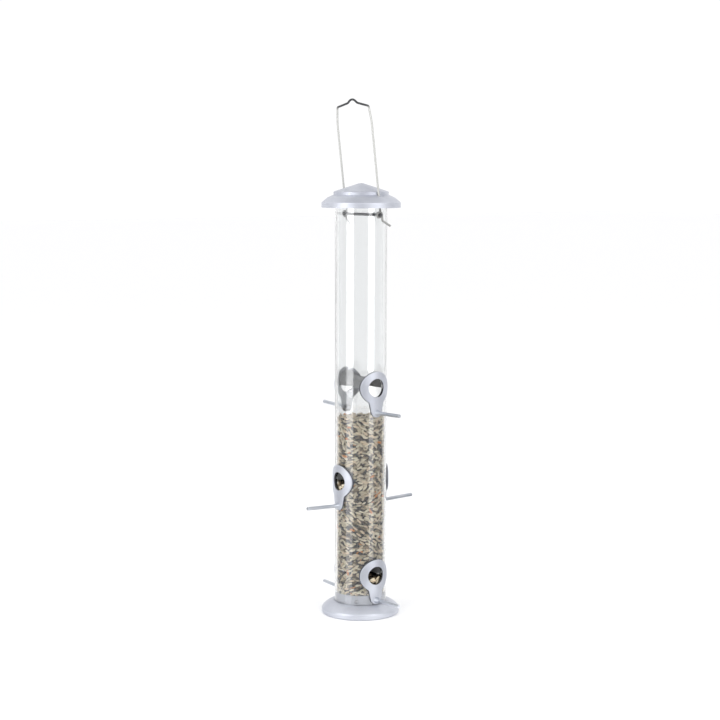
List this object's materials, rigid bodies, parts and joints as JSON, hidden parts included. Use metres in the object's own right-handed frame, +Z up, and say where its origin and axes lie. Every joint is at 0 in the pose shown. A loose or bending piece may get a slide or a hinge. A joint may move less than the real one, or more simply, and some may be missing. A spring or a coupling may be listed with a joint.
{
  "type": "hanging tube bird feeder",
  "caption": "Clear tube bird feeder with a metal lid and base, keyhole feeding ports with perches, inner seed hoods, and a wire bail the lid slides up.",
  "frame": {"origin": "centre of the base's rim, on the plane it stands on", "axes": "+Z up the tube; the crossbar and the upper and lower ports lie along X, the middle ports along Y"},
  "size_m": [0.1494, 0.1494, 0.5932],
  "materials": {
    "clear_plastic": "clear, glossy",
    "lid_metal": "satin",
    "base_metal": "satin",
    "wire": "drawn wire",
    "port_metal": "satin",
    "fastener_steel": "plated",
    "perch_metal": "satin",
    "hood_plastic": "matt dark",
    "seed": "loose seed"
  },
  "bodies": {
    "feeder": {"base": "base_metal", "base_screw_front": "fastener_steel", "base_screw_rear": "fastener_steel", "crossbar": "wire", "perch_lower_a": "perch_metal", "perch_lower_b": "perch_metal", "perch_middle_a": "perch_metal", "perch_middle_b": "perch_metal", "perch_nut_lower_a": "fastener_steel", "perch_nut_lower_b": "fastener_steel", "perch_nut_middle_a": "fastener_steel", "perch_nut_middle_b": "fastener_steel", "perch_nut_upper_a": "fastener_steel", "perch_nut_upper_b": "fastener_steel", "perch_upper_a": "perch_metal", "perch_upper_b": "perch_metal", "port_lower_a": "port_metal", "port_lower_b": "port_metal", "port_middle_a": "port_metal", "port_middle_b": "port_metal", "port_upper_a": "port_metal", "port_upper_b": "port_metal", "seed_fill": "seed", "seed_hood_lower": "hood_plastic", "seed_hood_middle": "hood_plastic", "seed_hood_upper": "hood_plastic", "tube": "clear_plastic"},
    "lid_cover": {"lid": "lid_metal"},
    "hanger": {"bail": "wire"}
  },
  "joints": [
    {"name": "lid_lift", "type": "slide", "parent": "feeder", "child": "lid_cover", "axis": [0, -0.1219, 0.9925], "range_m": [0, 0.076]},
    {"name": "bail_swing", "type": "hinge", "parent": "feeder", "child": "hanger", "pos_m": [0, 0, 0.4629], "axis": [-1, 0, 0], "range_deg": [0, 2.5]}
  ]
}
